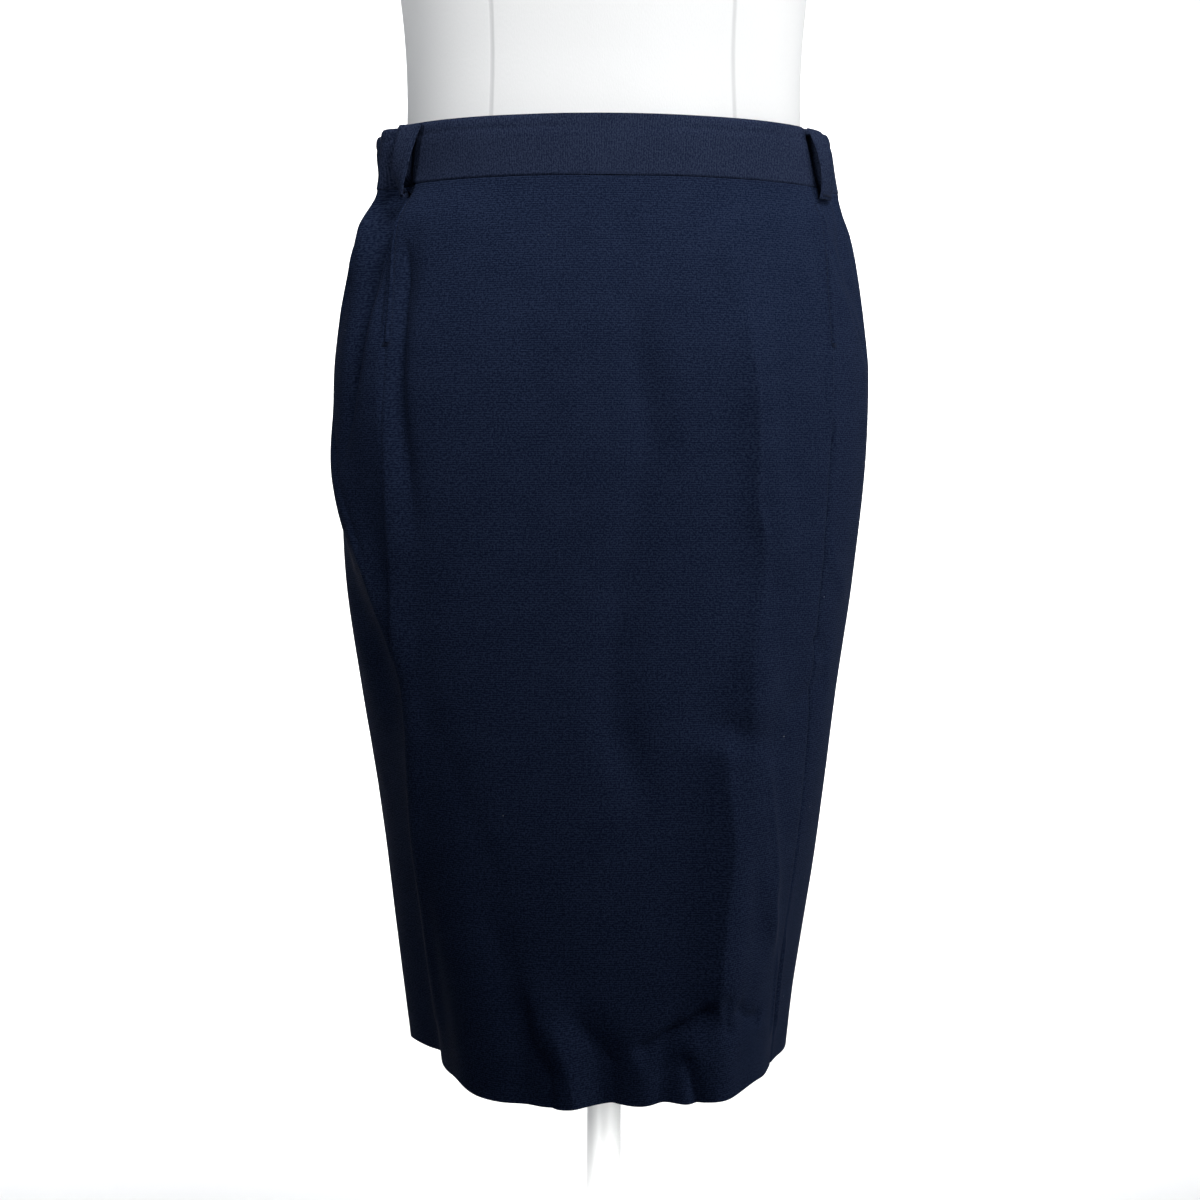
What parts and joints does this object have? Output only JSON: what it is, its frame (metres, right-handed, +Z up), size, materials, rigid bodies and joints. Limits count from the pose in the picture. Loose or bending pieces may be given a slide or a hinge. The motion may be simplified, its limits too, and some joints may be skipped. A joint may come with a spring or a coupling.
{
  "type": "pencil skirt on a dress form",
  "caption": "Knee-length pencil skirt with a flat front waistband, elastic back and belt loops, worn by a limbless dress form on a pole and round base.",
  "frame": {"origin": "centre of the base plate's underside, on the floor under the pole", "axes": "+Z up along the pole, the skirt's front faces -Y, +X is the wearer's left"},
  "size_m": [0.3685, 0.34, 1.537],
  "materials": {
    "navy_cloth": "matte navy twill weave",
    "band_cloth": "matte navy twill weave, doubled",
    "form_jersey": "matte white jersey cover",
    "stand_enamel": "satin white enamel"
  },
  "bodies": {
    "root": {"front_panel": "navy_cloth", "back_panel": "navy_cloth", "waistband_front": "band_cloth", "waistband_back": "band_cloth", "belt_loop_left": "band_cloth", "belt_loop_right": "band_cloth", "side_lap_left": "navy_cloth", "side_lap_right": "navy_cloth", "form_body": "form_jersey", "form_socket": "stand_enamel", "stand_pole": "stand_enamel", "stand_hub": "stand_enamel", "stand_base": "stand_enamel"}
  },
  "joints": []
}
